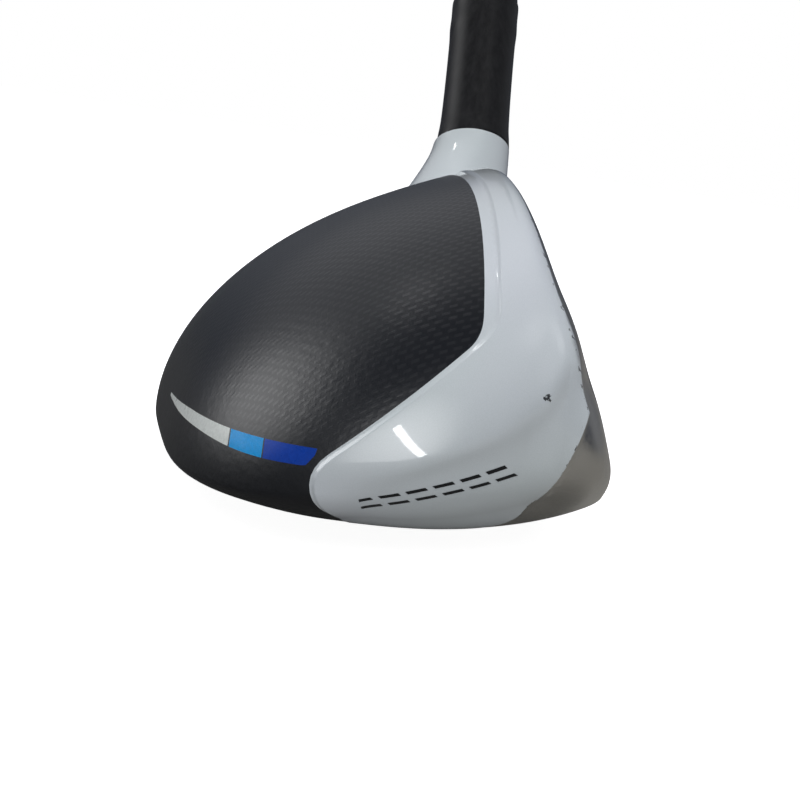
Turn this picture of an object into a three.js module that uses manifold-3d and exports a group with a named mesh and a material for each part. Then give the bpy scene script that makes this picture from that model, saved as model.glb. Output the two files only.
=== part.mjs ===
// Hybrid golf club, right-handed, standing in its address position.
// Millimetres, +Z up. The origin is the middle of the flat patch the sole rests on.
// The toe points to -X, the heel and the shaft lean to +X, the face looks to -Y.
import * as THREE from 'three';
import { mergeVertices } from 'three/examples/jsm/utils/BufferGeometryUtils.js';
import Module from 'manifold-3d';

const wasm = await Module();
wasm.setup();

// ---- Driving dimensions -------------------------------------------------
const CLUB_LENGTH = 1022;      // along the shaft axis, ground to the butt of the grip
const LIE = THREE.MathUtils.degToRad(60.4);
const LOFT = THREE.MathUtils.degToRad(23);

// Head outline seen from above: radii of a closed smooth curve every 30 degrees,
// starting at the heel and going round by the back, the toe and the front.
const PLAN_RADII = [55, 45.5, 34, 29, 29.5, 39, 46.5, 45.5, 43.5, 43.5, 48, 53.5];
const PLAN_FULLNESS = 2.4;     // power of the head's section in plan
const CROWN_FULLNESS = 1.95;   // power of the section above the widest line
const SOLE_FULLNESS = 2.2;     // power of the section below the widest line
const WAIST_HEIGHT = 14.7;     // height of the widest line at the middle of the head
const WAIST_SLOPE_X = 0.047;
const WAIST_SLOPE_Y = -0.31;
const CROWN_HEIGHT = 39.3;     // height of the crown over the origin
const CROWN_SLOPE_Y = -0.46;   // the crown falls towards the back
const SOLE_SINK = 0.3;         // depth the cambered sole is ground flat by
const SOLE_CAMBER_X = 0.0013;
const SOLE_CAMBER_Y = 0.0011;

const LEADING_EDGE_Y = -29.3;
const LEADING_EDGE_Z = 3;
const FACE_MIDDLE = 16;        // distance up the face from the leading edge
const BULGE_RADIUS = 260;
const ROLL_RADIUS = 300;

const AXIS_X = 38.5;           // where the shaft axis meets the ground
const AXIS_Y = -15;
const HOSEL_RADIUS = 6.75;
const HOSEL_TOP = 52.6;        // distances along the shaft axis from the ground
const HOSEL_ROOT = 21;
const FLARE_START = 50.7;
const FLARE_SLOPE = 0.23;      // the neck spreads backwards towards the head
const FLARE_SOFTNESS = 3;
const NECK_BLEND = 3.5;
const NECK_FILLET = 6.5;         // beyond this distance from the neck its fillet sinks away
const NECK_SINK = 0.25;
const NECK_REACH = 30;

const SHELL_WALL = 1.4;
const FACE_THICKNESS = 2;
const FACE_RIM = 2.2;          // body metal left round the face plate
const FACE_HEEL_RADIUS = 18;   // the face plate stops this far from the shaft axis
const FACE_MIDDLE_X = -6;
const FACE_OUTLINE_POINTS = 56;
const HOSEL_CORE_RADIUS = 7;
const SKIN_AROUND = 80;        // facets of the outer surface round and up the head
const SKIN_ROWS = 30;
const CAVITY_AROUND = 40;
const CAVITY_ROWS = 16;
const GAP = 0.3;               // clearance kept between neighbouring pieces

// Black crown: front edge, then down across the toe, seen from the side as (y, z).
const PANEL_EDGE = [
  [-5.4, 60], [-5.4, 29.5], [-4.9, 27.4], [-3.4, 25.2], [8.2, 13.1],
  [9.3, 11.5], [9.3, 9.8], [8.2, 8.2], [5.5, 6], [5.5, -5], [60, -5], [60, 60],
];
const PANEL_HEEL_X = 62;       // the crown also stops at a circle round the neck
const PANEL_HEEL_Y = -13;
const PANEL_HEEL_RADIUS = 34;

// Bare sole plate: up the toe in front of the paint line, seen from the side.
const SOLE_EDGE = [
  [-60, 21.8], [-17.2, 21.8], [-16.1, 17.6], [-14.8, 13.7], [-13.4, 10.3],
  [-11.6, 7.2], [-9, 5], [-5, 4.2], [60, 4.2], [60, -5], [-60, -5],
];
const SOLE_STEP = [
  [-60, 10.3], [-13.4, 10.3], [-11.6, 7.2], [-9, 5],
  [-5, 4.2], [60, 4.2], [60, -5], [-60, -5],
];
const TOE_CORNER_X = -22;
const SOLE_HEEL_X = 33;

// Coloured bands let into the crown's toe end, seen from the side as (y, z).
const BAND_LOW = [[26.2, 10.7], [23.9, 11.1], [18.1, 11.4], [14.2, 11.7], [10, 12.4]];
const BAND_HIGH = [[26.2, 11.3], [24.2, 12.1], [18.2, 13.1], [14.4, 13.5], [8.7, 14.4]];
const BAND_SPLITS = [26.2, 18.1, 14.3, 8.7];
const BAND_END_X = -5;
const BAND_THICKNESS = 0.4;
const BAND_POCKET = 0.7;

const SLOT_LENGTH = 52;
const SLOT_WIDTH = 4;
const SLOT_Y = -19.5;
const INSERT_THICKNESS = 1.3;

const FERRULE_LENGTH = 36;
const SHAFT_TIP = 22;          // the tip's distance along the axis
const SHAFT_TIP_RADIUS = 4.7;
const SHAFT_BUTT_RADIUS = 7.6;
const SHAFT_PARALLEL_END = 130;
const SHAFT_WALL = 1.3;
const GRIP_LENGTH = 267;
const GRIP_MOUTH_RADIUS = 9.9;
const GRIP_BUTT_RADIUS = 13.4;
const TAPE_THICKNESS = 0.4;

// ---- Small helpers ------------------------------------------------------
const shaftDirection = new THREE.Vector3(Math.cos(LIE), 0, Math.sin(LIE));
const shaftFoot = new THREE.Vector3(AXIS_X, AXIS_Y, 0);
const faceUp = new THREE.Vector3(0, Math.sin(LOFT), Math.cos(LOFT));
const faceOut = new THREE.Vector3(0, -Math.cos(LOFT), Math.sin(LOFT));

function material(color, roughness, metalness) {
  return new THREE.MeshStandardMaterial({ color, roughness, metalness });
}

function toSolid(geometry) {
  let plain = geometry.index ? geometry.toNonIndexed() : geometry.clone();
  plain.deleteAttribute('normal');
  plain.deleteAttribute('uv');
  plain = mergeVertices(plain, 1e-4);
  const mesh = new wasm.Mesh({
    numProp: 3,
    vertProperties: new Float32Array(plain.attributes.position.array),
    triVerts: new Uint32Array(plain.index.array),
  });
  mesh.merge();
  return new wasm.Manifold(mesh);
}

function toGeometry(solid) {
  const mesh = solid.getMesh();
  const geometry = new THREE.BufferGeometry();
  geometry.setAttribute('position', new THREE.BufferAttribute(mesh.vertProperties, 3));
  geometry.setIndex(new THREE.BufferAttribute(mesh.triVerts, 1));
  const faceted = geometry.toNonIndexed();
  faceted.computeVertexNormals();
  return faceted;
}

function onShaftAxis(distance) {
  return shaftFoot.clone().addScaledVector(shaftDirection, distance);
}

// Closed skin through rings of points, drawn together at a first and a last point.
function skinOf(rings, first, last) {
  const size = rings[0].length;
  const positions = [];
  const triangle = (a, b, c) => positions.push(...a.toArray(), ...b.toArray(), ...c.toArray());
  for (let i = 0; i + 1 < rings.length; i += 1) {
    for (let j = 0; j < size; j += 1) {
      const k = (j + 1) % size;
      triangle(rings[i][j], rings[i][k], rings[i + 1][k]);
      triangle(rings[i][j], rings[i + 1][k], rings[i + 1][j]);
    }
  }
  for (let j = 0; j < size; j += 1) {
    const k = (j + 1) % size;
    triangle(first, rings[0][k], rings[0][j]);
    triangle(last, rings[rings.length - 1][j], rings[rings.length - 1][k]);
  }
  const geometry = new THREE.BufferGeometry();
  geometry.setAttribute('position', new THREE.Float32BufferAttribute(positions, 3));
  return geometry;
}

// ---- Head surface -------------------------------------------------------
function planRadius(angle) {
  const count = PLAN_RADII.length;
  const place = ((angle / (2 * Math.PI)) * count + count) % count;
  const i = Math.floor(place);
  const t = place - i;
  const at = (n) => PLAN_RADII[(n + count) % count];
  return ((1 - t) ** 3 * at(i - 1)
    + (3 * t ** 3 - 6 * t ** 2 + 4) * at(i)
    + (-3 * t ** 3 + 3 * t ** 2 + 3 * t + 1) * at(i + 1)
    + t ** 3 * at(i + 2)) / 6;
}

// Negative inside the rounded head body, before the face is cut.
function domeField(p) {
  const rho = Math.hypot(p.x, p.y) / planRadius(Math.atan2(p.y, p.x));
  const waist = WAIST_HEIGHT + WAIST_SLOPE_X * p.x + WAIST_SLOPE_Y * p.y;
  const crown = CROWN_HEIGHT + CROWN_SLOPE_Y * p.y;
  const sole = SOLE_CAMBER_X * p.x ** 2 + SOLE_CAMBER_Y * p.y ** 2 - SOLE_SINK;
  const above = p.z > waist;
  const half = above ? Math.max(crown - waist, 4) : Math.max(waist - sole, 3);
  const power = above ? CROWN_FULLNESS : SOLE_FULLNESS;
  const sum = rho ** PLAN_FULLNESS + Math.abs((p.z - waist) / half) ** power;
  return (sum ** (2 / (PLAN_FULLNESS + power)) - 1) * 24;
}

// Distance in front of the bulged and rolled face.
function faceField(p) {
  const y = p.y - LEADING_EDGE_Y;
  const z = p.z - LEADING_EDGE_Z;
  const out = y * faceOut.y + z * faceOut.z;
  const up = y * faceUp.y + z * faceUp.z - FACE_MIDDLE;
  return out + p.x ** 2 / (2 * BULGE_RADIUS) + up ** 2 / (2 * ROLL_RADIUS);
}

// Distance outside the neck, which spreads backwards below FLARE_START.
function neckField(p) {
  const offset = p.clone().sub(shaftFoot);
  const along = offset.dot(shaftDirection);
  const drop = FLARE_START - Math.max(along, HOSEL_ROOT);
  const spread = FLARE_SLOPE * 0.5 * (drop + Math.hypot(drop, FLARE_SOFTNESS));
  const across = offset.addScaledVector(shaftDirection, -along);
  across.y -= spread;
  const below = Math.min(along - HOSEL_ROOT, 0);
  return Math.hypot(across.length(), below) - HOSEL_RADIUS - spread;
}

function headField(p) {
  const body = Math.max(domeField(p), faceField(p));
  const neck = neckField(p);
  const least = Math.min(body, neck);
  return least - NECK_BLEND * Math.log(Math.exp((least - body) / NECK_BLEND)
    + Math.exp((least - neck) / NECK_BLEND));
}

// The neck's own surface, which sinks under the body's where the fillet dies out.
function neckSkinField(p) {
  return headField(p) + NECK_SINK * Math.max(0, neckField(p) - NECK_FILLET);
}

// Where a ray leaves the surface on which the field is zero.
function leaveAt(field, origin, direction, reach) {
  let inside = 0;
  let outside = reach;
  if (field(origin.clone().addScaledVector(direction, reach)) < 0) return reach;
  for (let step = 0; step < 30; step += 1) {
    const middle = (inside + outside) / 2;
    const point = origin.clone().addScaledVector(direction, middle);
    if (field(point) < 0) inside = middle;
    else outside = middle;
  }
  return (inside + outside) / 2;
}

function gradientOf(field, p) {
  const step = 0.05;
  const slope = (axis) => {
    const ahead = p.clone();
    const behind = p.clone();
    ahead[axis] += step;
    behind[axis] -= step;
    return field(ahead) - field(behind);
  };
  return new THREE.Vector3(slope('x'), slope('y'), slope('z')).normalize();
}

// Solid of the rounded body, drawn in from its surface by an inset.
function domeSolid(inset, around, rows) {
  const centre = new THREE.Vector3(0, 0, WAIST_HEIGHT);
  const towards = (direction) => {
    const point = centre.clone()
      .addScaledVector(direction, leaveAt(domeField, centre, direction, 90));
    if (inset > 0) point.addScaledVector(gradientOf(domeField, point), -inset);
    return point;
  };
  const rings = [];
  for (let i = 1; i < rows; i += 1) {
    const tilt = -Math.PI / 2 + (Math.PI * i) / rows;
    const ring = [];
    for (let j = 0; j < around; j += 1) {
      const turn = (2 * Math.PI * j) / around;
      const direction = new THREE.Vector3(
        Math.cos(tilt) * Math.cos(turn),
        Math.cos(tilt) * Math.sin(turn),
        Math.sin(tilt) * 0.5,
      ).normalize();
      ring.push(towards(direction));
    }
    rings.push(ring);
  }
  const lowest = towards(new THREE.Vector3(0, 0, -1));
  const highest = towards(new THREE.Vector3(0, 0, 1));
  return toSolid(skinOf(rings, lowest, highest));
}

// Solid behind (side -1) or in front (side 1) of the face, moved back by a depth.
function faceBlock(depth, side) {
  const columns = 24;
  const rows = 10;
  const wide = 75;
  const point = (i, j, thick) => {
    const x = -wide + (2 * wide * i) / columns;
    const up = -40 + (80 * j) / rows;
    const curve = x ** 2 / (2 * BULGE_RADIUS) + up ** 2 / (2 * ROLL_RADIUS);
    const out = thick ? 90 * side : -depth - curve;
    return new THREE.Vector3(x, LEADING_EDGE_Y, LEADING_EDGE_Z)
      .addScaledVector(faceUp, up + FACE_MIDDLE)
      .addScaledVector(faceOut, out);
  };
  const positions = [];
  const triangle = (a, b, c) => positions.push(...a.toArray(), ...b.toArray(), ...c.toArray());
  const quad = (a, b, c, d) => {
    triangle(a, b, c);
    triangle(a, c, d);
  };
  for (let i = 0; i < columns; i += 1) {
    for (let j = 0; j < rows; j += 1) {
      for (const thick of [false, true]) {
        const corners = [point(i, j, thick), point(i + 1, j, thick),
          point(i + 1, j + 1, thick), point(i, j + 1, thick)];
        if (thick) corners.reverse();
        quad(...corners);
      }
    }
    quad(point(i, 0, true), point(i + 1, 0, true), point(i + 1, 0, false), point(i, 0, false));
    quad(point(i, rows, false), point(i + 1, rows, false),
      point(i + 1, rows, true), point(i, rows, true));
  }
  for (let j = 0; j < rows; j += 1) {
    quad(point(0, j, false), point(0, j + 1, false), point(0, j + 1, true), point(0, j, true));
    quad(point(columns, j, true), point(columns, j + 1, true),
      point(columns, j + 1, false), point(columns, j, false));
  }
  if (side > 0) {
    for (let n = 0; n < positions.length; n += 9) {
      for (let k = 0; k < 3; k += 1) {
        const held = positions[n + k];
        positions[n + k] = positions[n + 3 + k];
        positions[n + 3 + k] = held;
      }
    }
  }
  const geometry = new THREE.BufferGeometry();
  geometry.setAttribute('position', new THREE.Float32BufferAttribute(positions, 3));
  return toSolid(geometry);
}

// The neck and its fillet, from a ball at the root up to the flat hosel top.
function neckSolid() {
  const around = 56;
  const side = new THREE.Vector3(0, 1, 0);
  const front = new THREE.Vector3().crossVectors(side, shaftDirection);
  const ringAt = (distance, dip) => {
    const origin = onShaftAxis(distance);
    const ring = [];
    for (let j = 0; j < around; j += 1) {
      const turn = (2 * Math.PI * j) / around;
      const direction = front.clone().multiplyScalar(Math.cos(turn))
        .addScaledVector(side, Math.sin(turn))
        .multiplyScalar(Math.cos(dip))
        .addScaledVector(shaftDirection, -Math.sin(dip));
      const reach = leaveAt(neckSkinField, origin, direction, NECK_REACH);
      ring.push(origin.clone().addScaledVector(direction, reach));
    }
    return ring;
  };
  const rings = [];
  for (const dip of [80, 64, 48, 32, 16]) {
    rings.push(ringAt(HOSEL_ROOT, THREE.MathUtils.degToRad(dip)));
  }
  const steps = 18;
  for (let i = 0; i <= steps; i += 1) {
    rings.push(ringAt(HOSEL_ROOT + ((HOSEL_TOP - HOSEL_ROOT) * i) / steps, 0));
  }
  const root = onShaftAxis(HOSEL_ROOT);
  const down = shaftDirection.clone().negate();
  const bottom = root.clone()
    .addScaledVector(down, leaveAt(neckSkinField, root, down, NECK_REACH));
  return toSolid(skinOf(rings, bottom, onShaftAxis(HOSEL_TOP)));
}

// ---- Cutting shapes -----------------------------------------------------
// A closed outline with each side moved out by a margin and the corners kept sharp.
function grown(outline, margin) {
  const points = outline.map(([y, z]) => new THREE.Vector2(y, z));
  const way = THREE.ShapeUtils.isClockWise(points) ? -1 : 1;
  return points.map((point, i) => {
    const before = points[(i + points.length - 1) % points.length];
    const after = points[(i + 1) % points.length];
    const arriving = point.clone().sub(before).normalize();
    const leaving = after.clone().sub(point).normalize();
    const middle = arriving.clone().add(leaving).normalize();
    const outward = new THREE.Vector2(middle.y, -middle.x).multiplyScalar(way);
    const stretch = outward.dot(new THREE.Vector2(leaving.y, -leaving.x)) * way;
    return point.clone().addScaledVector(outward, margin / stretch);
  });
}

// A (y, z) outline seen from the side, pushed out by a margin and run from x = from to x = to.
function sidePrism(outline, margin, from, to) {
  const shape = new THREE.Shape(grown(outline, margin));
  const geometry = new THREE.ExtrudeGeometry(shape, { depth: to - from, bevelEnabled: false });
  geometry.applyMatrix4(new THREE.Matrix4().set(
    0, 0, 1, from,
    1, 0, 0, 0,
    0, 1, 0, 0,
    0, 0, 0, 1,
  ));
  return toSolid(geometry);
}

function rodOnAxis(radius, from, to, sides = 32) {
  const rod = new THREE.CylinderGeometry(radius, radius, to - from, sides);
  rod.rotateX(Math.PI / 2);
  rod.translate(0, 0, (from + to) / 2);
  rod.rotateY(Math.PI / 2 - LIE);
  rod.translate(AXIS_X, AXIS_Y, 0);
  return toSolid(rod);
}

function uprightRod(x, y, radius, sides = 72) {
  const rod = new THREE.CylinderGeometry(radius, radius, 140, sides);
  rod.rotateX(Math.PI / 2);
  rod.translate(x, y, 0);
  return toSolid(rod);
}

function slotPrism(margin) {
  const radius = SLOT_WIDTH / 2 + margin;
  const half = (SLOT_LENGTH - SLOT_WIDTH) / 2;
  const shape = new THREE.Shape();
  shape.absarc(half, 0, radius, -Math.PI / 2, Math.PI / 2);
  shape.absarc(-half, 0, radius, Math.PI / 2, (3 * Math.PI) / 2);
  const geometry = new THREE.ExtrudeGeometry(shape, {
    depth: 16, bevelEnabled: false, curveSegments: 6,
  });
  geometry.translate(0, SLOT_Y, -6);
  return toSolid(geometry);
}

// The face plate's outline, a rim's width inside the edge of the face.
function faceOutline(margin) {
  const onFace = (x, up) => {
    const curve = x ** 2 / (2 * BULGE_RADIUS) + up ** 2 / (2 * ROLL_RADIUS);
    return new THREE.Vector3(x, LEADING_EDGE_Y, LEADING_EDGE_Z)
      .addScaledVector(faceUp, up + FACE_MIDDLE)
      .addScaledVector(faceOut, -curve);
  };
  const rimField = (flat) => {
    const p = onFace(flat.x, flat.y);
    const fromAxis = new THREE.Vector3().subVectors(p, shaftFoot).cross(shaftDirection).length();
    return Math.max(domeField(p) + FACE_RIM - margin, FACE_HEEL_RADIUS - margin - fromAxis);
  };
  const outline = [];
  for (let i = 0; i < FACE_OUTLINE_POINTS; i += 1) {
    const turn = (2 * Math.PI * i) / FACE_OUTLINE_POINTS;
    const direction = new THREE.Vector3(Math.cos(turn), Math.sin(turn) * 0.5, 0).normalize();
    const middle = new THREE.Vector3(FACE_MIDDLE_X, 0, 0);
    const reach = leaveAt(rimField, middle, direction, 80);
    outline.push(new THREE.Vector2(middle.x + direction.x * reach, direction.y * reach));
  }
  return outline;
}

function faceRegion(margin) {
  const depth = 20;
  const prism = new THREE.ExtrudeGeometry(new THREE.Shape(faceOutline(margin)), {
    depth, bevelEnabled: false,
  });
  prism.applyMatrix4(new THREE.Matrix4().makeBasis(
    new THREE.Vector3(1, 0, 0),
    faceUp,
    faceOut,
  ));
  const middle = new THREE.Vector3(0, LEADING_EDGE_Y, LEADING_EDGE_Z)
    .addScaledVector(faceUp, FACE_MIDDLE)
    .addScaledVector(faceOut, -depth / 2);
  prism.translate(middle.x, middle.y, middle.z);
  return faceBlock(FACE_THICKNESS + margin, 1).intersect(toSolid(prism));
}

function soleRegion(margin) {
  return sidePrism(SOLE_STEP, margin, -80, SOLE_HEEL_X + margin)
    .add(sidePrism(SOLE_EDGE, margin, -80, TOE_CORNER_X + margin));
}

function crownRegion(margin) {
  return sidePrism(PANEL_EDGE, margin, -80, 80)
    .subtract(uprightRod(PANEL_HEEL_X, PANEL_HEEL_Y, PANEL_HEEL_RADIUS - margin));
}

function bandPrism(index, margin) {
  const from = BAND_SPLITS[index];
  const to = BAND_SPLITS[index + 1];
  const between = ([y]) => y <= from + 0.2 && y >= to - 0.2;
  const outline = [...BAND_HIGH.filter(between), ...BAND_LOW.filter(between).reverse()];
  return sidePrism(outline, margin, -80, BAND_END_X);
}

// ---- Head pieces --------------------------------------------------------
const wholeDome = domeSolid(0, SKIN_AROUND, SKIN_ROWS);
const aboveGround = sidePrism([[-80, 0], [80, 0], [80, 120], [-80, 120]], 0, -80, 120);
const bodyOutside = wholeDome.intersect(faceBlock(0, -1)).intersect(aboveGround);
const outside = bodyOutside.add(neckSolid());
const cavity = domeSolid(SHELL_WALL, CAVITY_AROUND, CAVITY_ROWS)
  .intersect(faceBlock(FACE_THICKNESS, -1))
  .subtract(rodOnAxis(HOSEL_CORE_RADIUS, -30, 90));
const shell = outside.subtract(cavity);
const behindFace = shell.subtract(faceRegion(GAP));
const aboveSole = behindFace.subtract(soleRegion(GAP));

function facePlate() {
  return outside.intersect(faceRegion(0));
}

function solePlate() {
  return behindFace.intersect(soleRegion(0)).subtract(slotPrism(0));
}

function slotInsert() {
  return wholeDome.intersect(aboveGround)
    .subtract(domeSolid(INSERT_THICKNESS, CAVITY_AROUND, CAVITY_ROWS))
    .intersect(slotPrism(-GAP))
    .intersect(sidePrism(SOLE_STEP, 0, -80, 80));
}

function bandInlay(index) {
  return wholeDome.intersect(bandPrism(index, -GAP / 2))
    .subtract(domeSolid(BAND_THICKNESS, SKIN_AROUND, SKIN_ROWS));
}

function crownPlate() {
  const pockets = [0, 1, 2].map((index) => bandPrism(index, GAP / 2))
    .reduce((joined, prism) => joined.add(prism));
  const floor = domeSolid(BAND_POCKET, SKIN_AROUND, SKIN_ROWS);
  return aboveSole.intersect(crownRegion(0)).subtract(pockets.subtract(floor));
}

function headBody() {
  return aboveSole.subtract(crownRegion(GAP))
    .subtract(rodOnAxis(SHAFT_TIP_RADIUS + GAP, SHAFT_TIP - 1, 90));
}

// ---- Turned pieces on the shaft axis -------------------------------------
function turned(profile, sides) {
  const geometry = new THREE.LatheGeometry(
    profile.map(([radius, along]) => new THREE.Vector2(radius, along)),
    sides,
  );
  geometry.rotateX(Math.PI / 2);
  geometry.rotateY(Math.PI / 2 - LIE);
  geometry.translate(AXIS_X, AXIS_Y, 0);
  return toSolid(geometry);
}

function shaftRadius(along) {
  const butt = CLUB_LENGTH - 4;
  const t = Math.max(0, (along - SHAFT_PARALLEL_END) / (butt - SHAFT_PARALLEL_END));
  return SHAFT_TIP_RADIUS + (SHAFT_BUTT_RADIUS - SHAFT_TIP_RADIUS) * t;
}

function shaft() {
  const butt = CLUB_LENGTH - 4;
  const profile = [[SHAFT_TIP_RADIUS - SHAFT_WALL, SHAFT_TIP]];
  for (const along of [SHAFT_TIP, SHAFT_PARALLEL_END, butt]) {
    profile.push([shaftRadius(along), along]);
  }
  profile.push([SHAFT_BUTT_RADIUS - SHAFT_WALL, butt]);
  profile.push([SHAFT_TIP_RADIUS - SHAFT_WALL, SHAFT_PARALLEL_END]);
  profile.push(profile[0]);
  return turned(profile, 32);
}

function ferrule() {
  const base = HOSEL_TOP + GAP;
  const bore = SHAFT_TIP_RADIUS + GAP;
  return turned([
    [bore, base], [HOSEL_RADIUS - 0.05, base], [6.6, base + 1.5], [6.35, base + 4],
    [6.25, base + 22], [6.4, base + 24.5], [6.3, base + 27], [6.35, base + 30],
    [6.1, base + 30.3], [6, base + 32], [bore + 0.5, base + FERRULE_LENGTH],
    [bore, base + FERRULE_LENGTH], [bore, base],
  ], 32);
}

function tipWeight() {
  const radius = SHAFT_TIP_RADIUS - SHAFT_WALL - GAP;
  const start = SHAFT_TIP + 1;
  return turned([
    [0, start], [radius - 0.4, start], [radius, start + 0.8],
    [radius, start + 22], [radius - 0.5, start + 24], [0, start + 24],
  ], 20);
}

function gripTape() {
  const from = CLUB_LENGTH - GRIP_LENGTH + 6;
  const to = CLUB_LENGTH - 6;
  const inner = (along) => shaftRadius(along) + GAP;
  return turned([
    [inner(from), from], [inner(from) + TAPE_THICKNESS, from],
    [inner(to) + TAPE_THICKNESS, to], [inner(to), to], [inner(from), from],
  ], 32);
}

function gripInside(along) {
  return shaftRadius(along) + 2 * GAP + TAPE_THICKNESS;
}

function gripSleeve() {
  const mouth = CLUB_LENGTH - GRIP_LENGTH;
  const end = CLUB_LENGTH - 5;
  const profile = [[gripInside(mouth), mouth], [GRIP_MOUTH_RADIUS - 0.8, mouth],
    [GRIP_MOUTH_RADIUS, mouth + 1.5], [GRIP_MOUTH_RADIUS, mouth + 9],
    [GRIP_MOUTH_RADIUS - 0.4, mouth + 10], [GRIP_MOUTH_RADIUS - 0.4, mouth + 12],
    [GRIP_MOUTH_RADIUS, mouth + 13]];
  const steps = 8;
  for (let i = 1; i <= steps; i += 1) {
    const t = i / steps;
    const swell = (GRIP_BUTT_RADIUS - GRIP_MOUTH_RADIUS) * (0.45 * t + 0.55 * t ** 3);
    profile.push([GRIP_MOUTH_RADIUS + swell, mouth + 13 + (end - mouth - 13) * t]);
  }
  profile.push([gripInside(end), end], [gripInside(mouth), mouth]);
  return turned(profile, 32);
}

function gripCap() {
  const start = CLUB_LENGTH - 5 + GAP;
  const vent = 1.5;
  return turned([
    [vent, CLUB_LENGTH - 3.4], [SHAFT_BUTT_RADIUS + 0.9, CLUB_LENGTH - 3.4],
    [SHAFT_BUTT_RADIUS + 0.9, start], [GRIP_BUTT_RADIUS, start],
    [GRIP_BUTT_RADIUS - 0.3, start + 1.6], [GRIP_BUTT_RADIUS - 1.8, CLUB_LENGTH - 1.2],
    [GRIP_BUTT_RADIUS - 4.5, CLUB_LENGTH], [vent, CLUB_LENGTH], [vent, CLUB_LENGTH - 3.4],
  ], 32);
}

// ---- Assembly -----------------------------------------------------------
const pieces = [
  ['head_body', headBody(), material(0xdfe4ea, 0.2, 0.1)],
  ['face_plate', facePlate(), material(0x77716c, 0.38, 0.9)],
  ['crown_plate', crownPlate(), material(0x16181b, 0.38, 0.1)],
  ['sole_plate', solePlate(), material(0x6f6a65, 0.35, 0.9)],
  ['slot_insert', slotInsert(), material(0x141414, 0.6, 0)],
  ['band_light', bandInlay(0), material(0xb9bec2, 0.3, 0)],
  ['band_sky', bandInlay(1), material(0x2291cf, 0.3, 0)],
  ['band_royal', bandInlay(2), material(0x2440a4, 0.3, 0)],
  ['ferrule', ferrule(), material(0x1b1b1d, 0.35, 0)],
  ['shaft', shaft(), material(0x17191f, 0.3, 0.1)],
  ['tip_weight', tipWeight(), material(0xb5903f, 0.35, 0.9)],
  ['grip_tape', gripTape(), material(0xd9d2c3, 0.8, 0)],
  ['grip_sleeve', gripSleeve(), material(0x1a1a1a, 0.8, 0)],
  ['grip_cap', gripCap(), material(0x1f1f1f, 0.75, 0)],
];

const club = new THREE.Group();
club.name = 'hybrid_golf_club';
for (const [name, solid, finish] of pieces) {
  const mesh = new THREE.Mesh(toGeometry(solid), finish);
  mesh.name = name;
  club.add(mesh);
}

export default club;
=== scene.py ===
"""Looks of the hybrid golf club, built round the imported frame.

The head's skin is one smooth formula, the same as the CAD's. It is meshed finely, cut along the
lines between its parts, and each part is made a thin closed shell with its own material.
Lengths are in millimetres up to the point where a mesh is made, and in metres from there.
"""

import math

import bpy
import numpy as np
from mathutils import Matrix, Vector


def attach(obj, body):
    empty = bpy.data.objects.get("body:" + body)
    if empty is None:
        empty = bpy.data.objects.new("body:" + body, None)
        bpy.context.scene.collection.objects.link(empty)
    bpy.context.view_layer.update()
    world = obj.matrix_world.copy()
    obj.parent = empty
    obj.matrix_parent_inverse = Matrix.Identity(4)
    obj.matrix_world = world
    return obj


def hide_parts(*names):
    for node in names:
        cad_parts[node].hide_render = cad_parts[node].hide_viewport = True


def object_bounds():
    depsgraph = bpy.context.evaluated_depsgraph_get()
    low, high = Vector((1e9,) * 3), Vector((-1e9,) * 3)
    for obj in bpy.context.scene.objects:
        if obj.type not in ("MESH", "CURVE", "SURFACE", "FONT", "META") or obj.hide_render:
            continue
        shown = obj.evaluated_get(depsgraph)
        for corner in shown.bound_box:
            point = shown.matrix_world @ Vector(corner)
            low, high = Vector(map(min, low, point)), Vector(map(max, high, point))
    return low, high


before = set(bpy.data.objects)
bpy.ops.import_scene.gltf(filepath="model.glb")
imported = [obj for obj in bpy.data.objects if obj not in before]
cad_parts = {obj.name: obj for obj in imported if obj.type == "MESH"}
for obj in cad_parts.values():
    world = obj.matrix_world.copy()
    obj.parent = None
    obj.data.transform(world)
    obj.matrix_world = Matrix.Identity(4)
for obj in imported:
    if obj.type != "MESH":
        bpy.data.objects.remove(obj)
cad_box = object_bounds()

MM = 0.001

# ---- Driving dimensions of the head, as in the CAD
LIE = math.radians(60.4)
LOFT = math.radians(23)
PLAN_RADII = np.array([55, 45.5, 34, 29, 29.5, 39, 46.5, 45.5, 43.5, 43.5, 48, 53.5])
PLAN_FULLNESS = 2.4
CROWN_FULLNESS = 1.95
SOLE_FULLNESS = 2.2
MEAN_FULLNESS = 2.08  # keeps the formula smooth across the waist away from the skin
FIELD_SCALE = 24
WAIST_HEIGHT = 14.7
WAIST_SLOPE_X = 0.047
WAIST_SLOPE_Y = -0.31
CROWN_HEIGHT = 39.3
CROWN_SLOPE_Y = -0.46
SOLE_SINK = 0.3
SOLE_CAMBER_X = 0.0013
SOLE_CAMBER_Y = 0.0011
LEADING_EDGE_Y = -29.3
LEADING_EDGE_Z = 3
FACE_MIDDLE = 16
BULGE_RADIUS = 260
ROLL_RADIUS = 300
AXIS_X = 38.5
AXIS_Y = -15
HOSEL_RADIUS = 6.75
HOSEL_TOP = 52.6
HOSEL_ROOT = 21
HOSEL_BORE = 5.1
MOUTH_DEPTH = 3  # how far down the bore is cut out of the skin
COLLAR_DEPTH = 1
FLARE_START = 50.7
FLARE_SLOPE = 0.23
FLARE_SOFTNESS = 3
NECK_BLEND = 3.5
CREASE_SOFTNESS = 0.7  # rounding of the edge between face and body
GROUND_SOFTNESS = 0.12
RIM_SOFTNESS = 0.15
FACE_RIM = 2.2
FACE_REACH = 4  # how far behind the face's surface its plate may end
FACE_HEEL_RADIUS = 18
FACE_HEEL_SOFTNESS = 1.5
FACE_STEEL_RADIUS = 15.5  # the bare face steel stops this far from the shaft axis
FACE_STEEL_SOFTNESS = 1

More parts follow.
